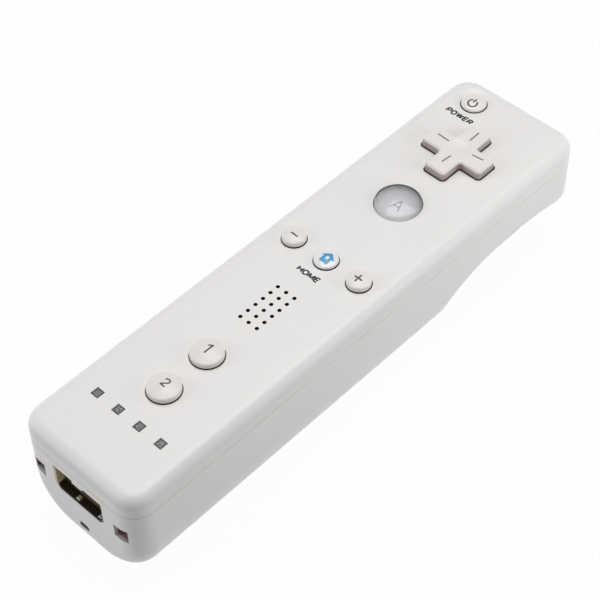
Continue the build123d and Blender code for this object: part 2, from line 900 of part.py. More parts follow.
with BuildPart() as connector_contacts:
    for side in (-1, 1):
        near = connector_middle + side * blade_thickness / 2
        far = near + side * contact_thickness
        for column in range(contact_count):
            x = (column - (contact_count - 1) / 2) * contact_pitch
            slab(
                (x - contact_width / 2, connector_front + blade_setback + contact_width, min(near, far)),
                (x + contact_width / 2, connector_rear - insulator_depth, max(near, far)),
            )
save(connector_contacts, "connector_contacts")


def cell(x, turned):
    """One round cell lying along Y, its raised end forwards unless turned."""
    with BuildPart() as battery:
        body_end = cell_length - cell_nub_height
        with BuildSketch(Plane.XY) as half:
            with BuildLine():
                Polyline(
                    (0, 0),
                    (cell_radius, 0),
                    (cell_radius, body_end),
                    (cell_nub_radius, body_end),
                    (cell_nub_radius, cell_length),
                    (0, cell_length),
                    close=True,
                )
            make_face()
            fillet(half.vertices().sort_by_distance((cell_radius, 0))[0], rim_round)
            fillet(half.vertices().sort_by_distance((cell_radius, body_end))[0], rim_round)
        revolve(axis=Axis.Y)
    start = Location((x, cell_rear, cell_height))
    if turned:
        start = Location((x, cell_front, cell_height), (0, 0, 180))
    with BuildPart() as placed:
        add(battery.part.moved(start))
    return placed


save(cell(-cell_pitch / 2, False), "battery_left")
save(cell(cell_pitch / 2, True), "battery_right")

plate_width_share = 0.69
plate_height_share = 0.7586

# Sheet metal contacts: plates against the end walls and bowed leaf springs
# that push on the flat ends of the cells.
plate_half_width = cell_radius * plate_width_share
plate_half_height = cell_radius * plate_height_share
spring_half_width = 2.2
with BuildPart() as contact_plates:
    for side in (-1, 1):
        for y, deep in ((bay_rear, contact_thickness), (bay_front, -contact_thickness)):
            slab(
                (side * cell_pitch / 2 - plate_half_width, min(y, y + deep), cell_height - plate_half_height),
                (side * cell_pitch / 2 + plate_half_width, max(y, y + deep), cell_height + plate_half_height),
            )
save(contact_plates, "contact_plates")

with BuildPart() as contact_springs:
    for x, plate_y, end_y, away in (
        (-cell_pitch / 2, bay_rear + contact_thickness, cell_rear, 1),
        (cell_pitch / 2, bay_front - contact_thickness, cell_front, -1),
    ):
        foot = cell_height - plate_half_height
        head = cell_height + plate_half_height
        inner_y = end_y - away * contact_thickness
        with BuildSketch(Plane.YZ.offset(x - spring_half_width)):
            with BuildLine():
                ThreePointArc((plate_y, foot), (end_y, cell_height), (plate_y, head))
                Line((plate_y, head), (plate_y, head - contact_thickness))
                ThreePointArc(
                    (plate_y, head - contact_thickness),
                    (inner_y, cell_height),
                    (plate_y, foot + contact_thickness),
                )
                Line((plate_y, foot + contact_thickness), (plate_y, foot))
            make_face()
        extrude(amount=2 * spring_half_width)
save(contact_springs, "contact_springs")

# Pairing button and the switch it presses.
with BuildPart() as sync_button:
    switch_low = board_bottom - switch_height
    rod(sync_place, sync_tip, switch_low - sync_travel - close_fit, sync_radius)
    rod(sync_place, sync_shelf + sync_shelf_thickness, sync_shelf + 2 * sync_shelf_thickness, sync_flange)
    rod(sync_place, switch_low - overrun, switch_low + switch_stem_depth / 2, switch_stem)
save(sync_button, "sync_button")

with BuildPart() as sync_switch:
    slab(
        (-switch_size / 2, sync_y - switch_size / 2, switch_low),
        (switch_size / 2, sync_y + switch_size / 2, board_bottom),
    )
    rod(
        sync_place,
        switch_low - overrun,
        switch_low + switch_stem_depth,
        switch_stem + close_fit,
        Mode.SUBTRACT,
    )
save(sync_switch, "sync_switch")

# Vibration motor: a steel can, and the shaft with its off-centre weight.
with BuildPart() as motor_can:
    with BuildSketch(Plane.YZ.offset(motor_rear)):
        with Locations((motor_y, motor_z)):
            Circle(motor_radius)
    extrude(amount=motor_length)
    fillet(motor_can.edges().filter_by(GeomType.CIRCLE), rim_round)
    with BuildSketch(Plane.YZ.offset(motor_rear + motor_length / 2)):
        with Locations((motor_y, motor_z)):
            Circle(motor_shaft + close_fit)
    extrude(amount=motor_length, mode=Mode.SUBTRACT)
save(motor_can, "motor_can")

weight_rear = motor_rear + motor_length + weight_gap
with BuildPart() as motor_shaft_rod:
    with BuildSketch(Plane.YZ.offset(motor_rear + motor_length / 2)):
        with Locations((motor_y, motor_z)):
            Circle(motor_shaft)
    extrude(amount=weight_rear + weight_length - motor_rear - motor_length / 2)
save(motor_shaft_rod, "motor_shaft")

with BuildPart() as motor_weight:
    with BuildSketch(Plane.YZ.offset(weight_rear)):
        with Locations((motor_y, motor_z)):
            Circle(weight_radius)
        with Locations((motor_y, motor_z + weight_radius / 2 + motor_shaft)):
            Rectangle(2 * weight_radius, weight_radius, mode=Mode.SUBTRACT)
        with Locations((motor_y, motor_z)):
            Circle(3 * motor_shaft)
            Circle(motor_shaft, mode=Mode.SUBTRACT)
    extrude(amount=weight_length)
save(motor_weight, "motor_weight")

# Parts soldered to the underside of the board.
chip_room = board_bottom - bay_roof - bay_wall
radio_share = 0.40541
radio_width = board_width * radio_share
radio_length = 16.0
processor_share = 0.30405
processor_side = board_width * processor_share
sensor_side = 5.0
memory_length = 6.0
chip_shares = {
    "radio_module": ((-0.22, -0.2), (radio_width, radio_length), 0.52),
    "processor": ((0.22, -0.19), (processor_side, processor_side), 0.29),
    "motion_sensor": ((0.27, 0.095), (sensor_side, sensor_side), 0.33),
    "memory_chip": ((0.22, -0.3), (sensor_side, memory_length), 0.33),
}
for name, ((across, along), (width, length), deep) in chip_shares.items():
    x = board_width * across
    y = wand_length * along
    height = chip_room * deep
    with BuildPart() as chip:
        slab(
            (x - width / 2, y - length / 2, board_bottom - height),
            (x + width / 2, y + length / 2, board_bottom),
        )
    save(chip, name)

capacitor_radius = 2.0
capacitor_share = 0.76
capacitor_height = chip_room * capacitor_share
capacitor_shares = ((-0.3, 0.16), (-0.3, -0.04))
with BuildPart() as capacitors:
    for across, along in capacitor_shares:
        place = (board_width * across, wand_length * along)
        rod(place, board_bottom - capacitor_height, board_bottom, capacitor_radius)
save(capacitors, "capacitors")
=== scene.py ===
import bmesh
import bpy
import numpy as np
from mathutils import Matrix, Vector


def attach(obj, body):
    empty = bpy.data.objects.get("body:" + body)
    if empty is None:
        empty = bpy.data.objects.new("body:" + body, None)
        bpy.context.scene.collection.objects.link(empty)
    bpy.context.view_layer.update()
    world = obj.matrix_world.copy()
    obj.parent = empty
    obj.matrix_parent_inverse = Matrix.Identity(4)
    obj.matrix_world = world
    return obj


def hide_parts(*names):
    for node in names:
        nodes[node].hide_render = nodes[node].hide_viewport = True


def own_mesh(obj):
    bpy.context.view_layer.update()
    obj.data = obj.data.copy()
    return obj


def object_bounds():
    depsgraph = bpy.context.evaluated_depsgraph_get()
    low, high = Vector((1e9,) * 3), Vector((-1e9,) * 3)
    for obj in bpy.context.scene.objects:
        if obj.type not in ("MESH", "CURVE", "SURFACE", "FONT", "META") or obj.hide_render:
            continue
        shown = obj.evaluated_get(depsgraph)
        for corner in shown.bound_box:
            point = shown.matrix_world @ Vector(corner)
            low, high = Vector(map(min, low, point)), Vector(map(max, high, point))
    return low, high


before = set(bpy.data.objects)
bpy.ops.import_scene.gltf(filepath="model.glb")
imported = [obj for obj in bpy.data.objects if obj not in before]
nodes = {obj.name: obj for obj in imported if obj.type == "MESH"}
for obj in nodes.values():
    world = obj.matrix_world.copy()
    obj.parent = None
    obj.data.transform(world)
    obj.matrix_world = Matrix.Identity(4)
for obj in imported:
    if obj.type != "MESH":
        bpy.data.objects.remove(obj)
cad_low, cad_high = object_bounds()
mm = 0.001

# The case is two mouldings in white ABS that meet at a thin seam, and a battery
# cover. The face is almost smooth, from a finely spark-eroded tool, with a low
# even gloss that dulls a little where hands hold it.


class Wire:
    """One output of a shader node; arithmetic on it adds Math nodes, and the
    sign | takes the larger of two."""

    def __init__(self, graph, socket):
        self.graph = graph
        self.socket = socket

    def maths(self, operation, left, right):
        return self.graph.node("ShaderNodeMath", {"operation": operation}, {0: left, 1: right})

    def __add__(self, other):
        return self.maths("ADD", self, other)

    __radd__ = __add__

    def __sub__(self, other):
        return self.maths("SUBTRACT", self, other)

    def __rsub__(self, other):
        return self.maths("SUBTRACT", other, self)

    def __mul__(self, other):
        return self.maths("MULTIPLY", self, other)

    __rmul__ = __mul__

    def __gt__(self, other):
        return self.maths("GREATER_THAN", self, other)

    def __lt__(self, other):
        return self.maths("LESS_THAN", self, other)

    def __or__(self, other):
        return self.maths("MAXIMUM", self, other)

    __ror__ = __or__

    def __abs__(self):
        return self.maths("ABSOLUTE", self, 0.0)

    def within(self, low, high):
        """1 where this place lies between two places in millimetres, else 0."""
        return (self > low * mm) * (self < high * mm)


class Graph:
    """A node tree, emptied and then filled by one method."""

    def __init__(self, tree):
        self.tree = tree
        self.tree.nodes.clear()

    def node(self, kind, settings, sockets, output=0):
        """Adds a node, with its settings first and then its socket values or links."""
        made = self.tree.nodes.new(kind)
        for name, value in settings.items():
            setattr(made, name, value)
        for name, value in sockets.items():
            if isinstance(value, Wire):
                self.tree.links.new(value.socket, made.inputs[name])
            else:
                made.inputs[name].default_value = value
        return Wire(self, made.outputs[output]) if made.outputs else None

    def seen(self):
        """1 for a ray from the camera, also by way of a gloss or a clear piece."""
        camera_ray, glossy_ray, clear_ray = (
            self.node("ShaderNodeLightPath", {}, {}, f"Is {kind} Ray")
            for kind in ("Camera", "Glossy", "Transmission")
        )
        return camera_ray | glossy_ray | clear_ray


class Finish(Graph):
    """A material made of one Principled shader and the nodes that feed it."""

    def __init__(self, name, **surface):
        self.material = bpy.data.materials.new(name)
        self.material.use_nodes = True
        super().__init__(self.material.node_tree)
        self.surface = self.node("ShaderNodeBsdfPrincipled", {}, {}, "BSDF")
        self.shader = self.surface.socket.node
        self.output = self.tree.nodes.new("ShaderNodeOutputMaterial")
        self.tree.links.new(self.surface.socket, self.output.inputs["Surface"])
        self.place = self.node("ShaderNodeTexCoord", {}, {}, "Object")
        self.set(**surface)

    def set(self, **surface):
        """Fills the shader's sockets: a name like base_color means Base Color."""
        for name, value in surface.items():
            socket = self.shader.inputs[name.replace("_", " ").title().replace("Ior", "IOR")]
            if isinstance(value, Wire):
                self.tree.links.new(value.socket, socket)
            else:
                socket.default_value = value

    def axis(self, letter):
        """The place on the object along X, Y or Z, in metres."""
        return self.node("ShaderNodeSeparateXYZ", {}, {0: self.place}, letter)

    def noise(self, per_mm, detail=2.0, place=None):
        """Soft noise from 0 to 1 with about per_mm cells in a millimetre."""
        sockets = {"Vector": place or self.place, "Scale": per_mm / mm, "Detail": detail}
        return self.node("ShaderNodeTexNoise", {}, sockets, "Fac")

    def blend(self, amount, first, second):
        """Colour first where amount is 0 and second where it is 1."""
        return self.node("ShaderNodeMix", {"data_type": "RGBA"}, {0: amount, 6: first, 7: second}, 2)

    def bump(self, height, depth_mm):
        """Normal of a surface raised by height times depth_mm."""
        sockets = {"Height": height, "Distance": depth_mm * mm, "Strength": 1.0}
        return self.node("ShaderNodeBump", {}, sockets, "Normal")

    def dress(self, *names):
        """Gives this material to CAD nodes."""
        for name in names:
            for holder in nodes[name].material_slots:
                holder.material = self.material


def rgb(red, green, blue):
    """A colour written as it looks on a screen, from 0 to 255, as linear light."""
    shares = np.array([red, green, blue]) / 255
    linear = np.where(shares <= 0.04045, shares / 12.92, ((shares + 0.055) / 1.055) ** 2.4)
    return (*linear.tolist(), 1.0)


def moulded(name, colour, worn, roughness, grain=0.004):
    """Injection-moulded plastic: faint cloudiness, fine tool grain, dulled patches."""
    cloud_share, rub_spread = 0.6, 0.12
    plastic = Finish(name, specular_ior_level=0.45, ior=1.5)
    cloud = plastic.noise(0.05, 3.0)
    rub = plastic.noise(0.4, 4.0)
    grain_height = plastic.noise(6.0, 2.0)
    plastic.colour = plastic.blend(cloud * cloud_share, colour, worn)
    plastic.set(
        base_color=plastic.colour,
        roughness=rub * rub_spread + (roughness - rub_spread / 2),
        normal=plastic.bump(grain_height, grain),
    )
    return plastic


pad_proud = 2.4
face_height = cad_high.z / mm - pad_proud
hole_floor, hole_rim = face_height - 1.8, face_height - 0.04
power_x, power_y, power_wall = -9.1, 66.2, 3.44
buttons_x, buttons_y = (-13.4, 13.4), (-60, 58)
latch_x, latch_y, latch_z = (10.9, 14.9), (-73.2, -66), (15.2, 19.8)
strap_x, strap_y, strap_z = (-1, 1.75), (-73.7, -66), (5.9, 8.5)

case_finish = moulded("case_plastic", rgb(236, 234, 232), rgb(231, 228, 226), 0.34)
across, along, height = (case_finish.axis(letter) for letter in "XYZ")
from_power_x, from_power_y = across * (1 / mm) - power_x, along * (1 / mm) - power_y
power_hole = (from_power_x * from_power_x + from_power_y * from_power_y) < power_wall**2
# Painted shade: the walls of the button holes are painted near-black, the strap hole grey and the latch holes
# pinkish grey inside.
hole_wall_shade = across.within(*buttons_x) * along.within(*buttons_y) * height.within(hole_floor, hole_rim)
hole_wall_shade = hole_wall_shade | (power_hole * (height > hole_floor * mm))
latch_hole_shade = abs(across).within(*latch_x) * along.within(*latch_y) * height.within(*latch_z)
strap_hole_shade = abs(across).within(*strap_x) * along.within(*strap_y) * height.within(*strap_z)
case_colour = case_finish.blend(hole_wall_shade, case_finish.colour, rgb(30, 26, 26))
case_colour = case_finish.blend(strap_hole_shade, case_colour, rgb(140, 132, 130))
case_finish.set(base_color=case_finish.blend(latch_hole_shade, case_colour, rgb(176, 150, 147)))
case_finish.dress("top_case", "bottom_case", "battery_cover")

# Two function words are pad-printed in black on the face: one below the power
# button, one between the home button and the sound holes. The ink is thin and
# a bit glossy.


def flat(x, y):
    """Height of the flat button face, the same everywhere."""
    return np.full_like(x, face_height)


def domed(centre_x, centre_y, hole, proud):
    """Height of a button's crown: a sphere tangent to level at its middle.

    Its radius is (r^2 + d^2) / 2d, for cap radius r and edge drop d.
    """
    cap_gap, crown_slope = 0.2, 0.35
    cap = hole - cap_gap
    drop = cap * crown_slope / 2
    radius = (cap**2 + drop**2) / (2 * drop)

    def crown(x, y):
        reach_squared = (x - centre_x) ** 2 + (y - centre_y) ** 2
        return face_height + proud - radius + np.sqrt(radius**2 - reach_squared)

    return crown


def into_mesh(name, points, faces):
    """A new object from an array of points in millimetres and its faces."""
    mesh = bpy.data.meshes.new(name)
    mesh.from_pydata((np.asarray(points) * mm).tolist(), [], [tuple(face) for face in faces])
    mesh.update()
    piece = bpy.data.objects.new(name, mesh)
    bpy.context.scene.collection.objects.link(piece)
    return piece


def stroke(path, width):
    """A printed line: the path's points, moved half a width to each side along
    the normal of its direction, above and below, with both ends closed."""
    path = np.asarray(path, float)
    along = np.gradient(path, axis=0)
    along /= np.linalg.norm(along, axis=1)[:, None]
    aside = np.stack([-along[:, 1], along[:, 0]], 1) * width / 2
    left, right = path + aside, path - aside
    top, bottom = np.full((len(path), 1), 0.5), np.full((len(path), 1), -0.5)
    edges = ((left, top), (left, bottom), (right, bottom), (right, top))
    corners = np.stack([np.hstack([edge, level]) for edge, level in edges], 1)
    count = len(path)
    step = np.arange(count - 1)[:, None] * 4
    side = np.arange(4)
    here, after = step + side, step + (side + 1) % 4
    faces = np.stack([here, here + 4, after + 4, after], 2).reshape(-1, 4).tolist()
    last = 4 * (count - 1)
    return corners.reshape(-1, 3), faces + [[0, 1, 2, 3], [last + 3, last + 2, last + 1, last]]


def printed(name, marks, place, surface, body, material, lift=0.02):
    """Lays flat marks on a surface: the height there plus lift on their upper
    side, and as much lower on their under side as the ink is thick."""
    ink_thickness = 0.05
    points, faces, start = [], [], 0
    for mark_points, mark_faces in marks:
        laid = np.array(mark_points, float)
        laid[:, :2] += place
        laid[:, 2] = surface(laid[:, 0], laid[:, 1]) + lift + (laid[:, 2] - 0.5) * ink_thickness
        points.append(laid)
        faces.append(np.array(mark_faces) + start)
        start += len(laid)
    piece = into_mesh(name, np.vstack(points), np.vstack(faces).tolist())
    piece.data.materials.append(material)
    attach(piece, body)
    return piece


def ink(name, colour, thin, roughness=0.35):
    """Pad-printing ink: a thin film with small breaks in its density."""
    film = Finish(name, roughness=roughness)
    density = film.noise(3.0, 3.0)
    film.set(base_color=film.blend(density * 0.5, colour, thin), normal=film.bump(density, 0.003))
    return film


black_ink = ink("black_ink", rgb(16, 16, 17), rgb(30, 30, 32))


def bend(first, last, centre, radii, count=14):
    """Part of an ellipse, from angle first to last in degrees."""
    turn = np.radians(np.linspace(first, last, count))
    return np.stack([np.cos(turn), np.sin(turn)], 1) * radii + centre


# Each letter is its width and the strokes of a plain bold capital one high.
letter_ring = np.vstack(
    [bend(90, 270, (0.38, 0.5), (0.38, 0.5)), bend(-90, 90, (0.52, 0.5), (0.38, 0.5)), [(0.38, 1.0)]]
)
bowl = np.vstack([[(0, 1)], bend(90, -90, (0.48, 0.72), (0.3, 0.28)), [(0, 0.44)]])
capitals = {
    "P": (0.78, [[(0, 0), (0, 1)], bowl]),
    "O": (0.9, [letter_ring]),
    "W": (1.2, [[(0, 1), (0.3, 0)], [(0.3, 0), (0.6, 1)], [(0.6, 1), (0.9, 0)], [(0.9, 0), (1.2, 1)]]),
    "E": (0.72, [[(0, 0), (0, 1)], [(0, 1), (0.72, 1)], [(0, 0.5), (0.66, 0.5)], [(0, 0), (0.72, 0)]]),
    "R": (0.8, [[(0, 0), (0, 1)], bowl, [(0.4, 0.46), (0.8, 0)]]),
    "H": (0.86, [[(0, 0), (0, 1)], [(0.86, 0), (0.86, 1)], [(0, 0.5), (0.86, 0.5)]]),
    "M": (1.05, [[(0, 0), (0, 1)], [(0, 1), (0.52, 0.1)], [(0.52, 0.1), (1.05, 1)], [(1.05, 1), (1.05, 0)]]),
}


def word(text, height, width, slant=0.12):
    """A word in bold strokes, scaled to its height and width and centred."""
    letter_gap, weight, pen, paths = 0.36, 0.43, 0.0, []
    for letter in text:
        advance, strokes = capitals[letter]
        paths += [np.asarray(path, float) + (pen, 0) for path in strokes]
        pen += advance + letter_gap
    pen -= letter_gap
    shapes = []
    for path in paths:
        path = path + np.stack([path[:, 1] * slant - slant / 2, np.zeros(len(path))], 1)
        shapes.append(stroke((path - (pen / 2, 0.5)) * (width / pen, height), weight))
    return shapes


capital_height, power_word_width, home_word_width = 1.3, 7.6, 6.15
power_word = word("POWER", capital_height, power_word_width)
home_word = word("HOME", capital_height, home_word_width)
printed("power_legend", power_word, (-8.75, 60.3), flat, "case", black_ink.material)
printed("home_legend", home_word, (-0.1, -2.75), flat, "case", black_ink.material)

# White caps turned as if on a lathe, each in its own hole over a rubber dome.
# Their marks are printed in dark grey, thin-lined, and follow the crown.

cap_white, cap_worn = rgb(235, 230, 228), rgb(230, 224, 222)


def paint_skirt_shade(cap, dull, above=0.26):
    """Darkens a cap's skirt in its hole, up to a little above the face, as painted shade."""
    cap.set(base_color=cap.blend(cap.axis("Z") < (face_height + above) * mm, cap.colour, dull))
    return cap


# The caps' skirts are painted dark low in their holes as painted shade; the power button's only below the
# face.
cap_finish = paint_skirt_shade(moulded("cap_plastic", cap_white, cap_worn, 0.3, 0.002), rgb(20, 17, 17))
cap_finish.dress("minus_button", "plus_button", "one_button", "two_button")
power_finish = paint_skirt_shade(moulded("power_plastic", cap_white, cap_worn, 0.3, 0.002), rgb(20, 17, 17), -0.2)
power_finish.dress("power_button")

grey_ink = ink("grey_ink", rgb(52, 50, 52), rgb(84, 82, 84))


def line(start, end, width):
    """A straight printed line between two points."""
    share = np.linspace(0, 1, 9)[:, None]
    return stroke(np.array(start) * (1 - share) + np.array(end) * share, width)


minus_shapes = [line((-1.05, 0), (1.05, 0), 0.42)]
plus_shapes = [
    line((-1.15, 0), (1.15, 0), 0.42),
    line((0, 0.21), (0, 1.15), 0.42),
    line((0, -1.15), (0, -0.21), 0.42),
]
power_shapes = [stroke(bend(122, 418, (0, 0), 1.15, 48), 0.42), line((0, 0.25), (0, 1.6), 0.42)]
one_shapes = [line((0, -1.45), (0, 1.45), 0.4), line((-0.85, 0.68), (-0.1, 1.36), 0.4)]
two_path = np.vstack(
    [bend(170, -38, (0, 0.46), (0.65, 0.58), 24), np.linspace((0.39, -0.02), (-0.65, -1.02), 6)]
)
two_shapes = [stroke(two_path, 0.37), line((-0.74, -1.02), (0.72, -1.02), 0.37)]

# Each mark is its place, its button's centre, hole and height above the face,
# and its strokes.
marks = {
    "minus": ((-9.8, 2.85), (-10.1, 3.0, 3.15, 1.8), minus_shapes),
    "plus": ((10.0, 2.9), (10.1, 3.0, 3.15, 1.8), plus_shapes),
    "power": ((-8.8, 65.3), (power_x, power_y, 3.4, 0.9), power_shapes),
    "one": ((0.16, -34.35), (0, -34.8, 4.15, 2.0), one_shapes),
    "two": ((0, -47.05), (0, -47.7, 4.15, 2.0), two_shapes),
}
for name, (place, button, shapes) in marks.items():
    printed(f"{name}_mark", shapes, place, domed(*button), f"{name}_button", grey_ink.material, lift=0.03)

# The large thumb button is clear polycarbonate, painted darker from a lit point
# near its middle out to its rim: painted shade. Under it a white cup, which goes
# down with it, carries its letter.

clear_finish = Finish("clear_plastic", roughness=0.05, transmission_weight=0.8, ior=1.45)
# Painted shade and light: a pale colour round a lit point off the middle turns grey towards the rim.
lit_x, lit_y, dim_reach_squared = 0.8, 25.9, 42
aside, ahead = clear_finish.axis("X") * (1 / mm) - lit_x, clear_finish.axis("Y") * (1 / mm) - lit_y
rim_shade_share = (aside * aside + ahead * ahead) * (1 / dim_reach_squared)
clear_finish.set(
    base_color=clear_finish.blend(rim_shade_share * rim_shade_share, rgb(226, 227, 229), rgb(118, 119, 122)),
    normal=clear_finish.bump(clear_finish.noise(1.2, 2.0), 0.004),
)
clear_finish.dress("a_button")


def below(x, y):
    """Height of the letter on the cup under the large clear button."""
    cup_height = 29.25
    return np.full_like(x, cup_height)


def turned(name, profile, centre, count=72):
    """A piece turned about an upright axis: each profile point (radius, height)
    goes round in count steps, and its first and last points lie on the axis."""
    profile = np.asarray(profile, float)
    turn = np.linspace(0, 2 * np.pi, count, endpoint=False)
    inner = profile[1:-1]
    rings = np.stack(
        [
            centre[0] + inner[:, :1] * np.cos(turn),
            centre[1] + inner[:, :1] * np.sin(turn),
            np.repeat(inner[:, 1:], count, 1),
        ],
        2,
    ).reshape(-1, 3)
    poles = [(*centre, profile[0, 1]), (*centre, profile[-1, 1])]
    step, level = np.arange(count), np.arange(len(inner) - 1)[:, None] * count
    follow = np.roll(step, -1)
    here, after = level + step, level + follow
    faces = np.stack([here, after, after + count, here + count], 2).reshape(-1, 4).tolist()
    last, pole = (len(inner) - 1) * count, np.full(count, len(rings))
    faces += np.stack([pole, follow, step], 1).tolist()
    faces += np.stack([pole + 1, last + step, last + follow], 1).tolist()
    return into_mesh(name, np.vstack([rings, poles]), faces)


cup_profile = [(0, 28.6), (5.3, 28.6), (5.3, 30.1), (5.0, 30.15), (4.9, 29.5), (4.5, 29.2), (0, 29.2)]
a_centre = (0, 27.7)
cup = turned("a_cup", cup_profile, a_centre)
cup_finish = moulded("cup_white", rgb(236, 236, 237), rgb(230, 230, 232), 0.5, 0.001)
cup.data.materials.append(cup_finish.material)
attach(cup, "a_button")

pale_ink = ink("pale_ink", rgb(150, 151, 153), rgb(166, 167, 169))
letter_a = [
    line((-1.1, -1.35), (-0.05, 1.35), 0.34),
    line((0.05, 1.35), (1.1, -1.35), 0.34),
    line((-0.62, -0.45), (0.62, -0.45), 0.32),
]
printed("a_mark", letter_a, (0.1, 27.5), below, "a_button", pale_ink.material)

# The home button is a milky cap, glossier and lower than the two beside it. A
# small blue house with a hollow middle is printed on its crown.

milky_finish = moulded("milky_plastic", rgb(238, 235, 235), rgb(232, 230, 231), 0.16, 0.001)
# The home cap's skirt is painted dark in its hole as painted shade.
paint_skirt_shade(milky_finish, rgb(30, 28, 30)).set(coat_weight=0.4)
milky_finish.dress("home_button")

blue_ink = ink("blue_ink", rgb(38, 142, 190), rgb(84, 178, 218), 0.25)
house_outline = np.array(
    [(-1.1, -1.6), (1.1, -1.6), (1.1, 0.1), (1.75, 0.1), (0.0, 1.7), (-1.75, 0.1), (-1.1, 0.1), (-1.1, -1.6)]
)
house_size, house_hollow = 1.06, 0.34
steps = np.linspace(0, 1, 12, endpoint=False)[:, None]
house_path = np.vstack(
    [begin * (1 - steps) + end * steps for begin, end in zip(house_outline[:-1], house_outline[1:])]
)


def filled(outline, hollow, rings=8):
    """A flat printed shape with a hollow middle: its outline times each share
    from 1 in to hollow, above, and back out to 1, below, closed both ways."""
    shares = np.concatenate([np.linspace(1, hollow, rings), np.linspace(hollow, 1, rings)])
    levels = np.repeat([0.5, -0.5], rings)
    count = len(outline)
    points = np.stack(
        [
            np.outer(shares, outline[:, 0]),
            np.outer(shares, outline[:, 1]),
            np.repeat(levels[:, None], count, 1),
        ],
        2,
    ).reshape(-1, 3)
    ring, step = np.arange(2 * rings)[:, None], np.arange(count)
    inner, follow = (ring + 1) % (2 * rings) * count, (step + 1) % count
    faces = np.stack([ring * count + step, ring * count + follow, inner + follow, inner + step], 2)
    return points, faces.reshape(-1, 4).tolist()


home_top = domed(0, 3.0, 3.15, 1.2)
house = filled(house_path * house_size, house_hollow)
printed("house_mark", [house], (0.3, 3.15), home_top, "home_button", blue_ink.material, lift=0.03)

# The cross pad is one white moulding that rocks on a ball. Four fine grey lines
# are printed on it, one along each arm.

pad_y, dish_radius, dish_depth, side_height = 49.25, 14.0, 0.35, 1.8
pad_finish = moulded("pad_plastic", cap_white, cap_worn, 0.32, 0.002)
# Painted shade: the pad's sides are painted a darker pinkish grey, and its foot by the face is painted dark.
pad_side_shade = pad_finish.axis("Z") < (face_height + side_height) * mm
pad_finish.colour = pad_finish.blend(pad_side_shade, pad_finish.colour, rgb(182, 168, 166))
paint_skirt_shade(pad_finish, rgb(36, 30, 30), 0.04)
pad_finish.dress("dpad_cross")


def pad_top(x, y):
    """The pad's face: level, with a shallow spherical dish in the middle."""
    dish = dish_radius - dish_depth - np.sqrt(dish_radius**2 - x**2 - (y - pad_y) ** 2)
    return face_height + pad_proud + np.minimum(dish, 0)


arm_lines = [
    ((-6.9, 0.55), (-3.3, 0.4)),
    ((3.75, 0.5), (6.9, 0.9)),
    ((0.25, 3.9), (0.2, 7.4)),
    ((0, -6.0), (0.25, -3.1)),
]
line_ink = ink("line_ink", rgb(92, 88, 88), rgb(122, 118, 118))
arm_marks = [line(start, end, 0.36) for start, end in arm_lines]
printed("dpad_marks", arm_marks, (0, 49.4), pad_top, "dpad_cross", line_ink.material, lift=0.03)

# The four square light guides are one smoky comb of acrylic that ends flush
# with the face. They are unlit, and a thin dark rim is printed round each.

guide_finish = Finish("light_plastic", roughness=0.22, transmission_weight=0.15)
speck = guide_finish.noise(2.6, 2.0)
speck_contrast, speck_cut = 4, 1.6
guide_finish.set(
    base_color=guide_finish.blend(speck * speck_contrast - speck_cut, rgb(66, 64, 64), rgb(172, 169, 168)),
    normal=guide_finish.bump(speck, 0.01),
)
guide_finish.dress("light_guide")


def square(half):
    """Outline of a square in six steps a side, counterclockwise."""
    corners = np.array([(-half, -half), (half, -half), (half, half), (-half, half), (-half, -half)])
    part = np.linspace(0, 1, 6, endpoint=False)[:, None]
    return np.vstack([begin * (1 - part) + end * part for begin, end in zip(corners[:-1], corners[1:])])


rim_half, rim_hollow, light_pitch, light_y = 1.08, 0.68, 6.57, -58.0
rims = []
for column in range(4):
    rim_points, rim_faces = filled(square(rim_half), rim_hollow, 2)
    rim_points[:, 0] += (column - 1.5) * light_pitch
    rims.append((rim_points, rim_faces))
rim_ink = ink("rim_ink", rgb(44, 42, 42), rgb(64, 62, 62))
printed("light_rims", rims, (0, light_y), flat, "case", rim_ink.material, lift=0.01)

# The loudspeaker is a pressed paper cone behind the sound holes. It is glued
# to a die-cut ring of foam, which seals it to the case.

paper = Finish("speaker_cone", roughness=0.7)
weave = paper.noise(1.5, 4.0)
paper.set(base_color=paper.blend(weave, rgb(30, 29, 29), rgb(52, 50, 50)), normal=paper.bump(weave, 0.03))
paper.dress("speaker")
foam = Finish("foam_ring", roughness=0.95)
bubbles = foam.node("ShaderNodeTexVoronoi", {}, {"Vector": foam.place, "Scale": 3.0 / mm}, "Distance")
foam.set(base_color=foam.blend(bubbles, rgb(36, 36, 38), rgb(70, 70, 74)), normal=foam.bump(bubbles, 0.08))
foam.dress("speaker_gasket")

# The window in the nose is polished smoked acrylic, almost black, which lets
# infrared light through to the pointer camera.

smoke = Finish("smoked_plastic", roughness=0.06, specular_ior_level=0.35)
haze = smoke.noise(0.2, 3.0)
smoke_colour = smoke.blend(haze, rgb(9, 7, 8), rgb(16, 12, 14))
smoke.set(base_color=smoke_colour, normal=smoke.bump(smoke.noise(2.0), 0.002))
smoke.dress("pointer_window")

# The connector is a folded steel shell in the end face, round a dark plastic
# blade with gilt contacts. A thin lip lines its mouth, painted dark all round as
# painted shade and pale on its left wall as painted light, and two spring ends
# stand on the lip's lower wall.

gilt = Finish("gilt_brass", metallic=1.0)
tarnish = gilt.noise(1.0, 3.0)
gilt.set(
    base_color=gilt.blend(tarnish, rgb(226, 205, 160), rgb(206, 178, 122)),
    roughness=tarnish * 0.15 + 0.22,
    normal=gilt.bump(gilt.noise(5.0), 0.002),
)
gilt.dress("connector_contacts")


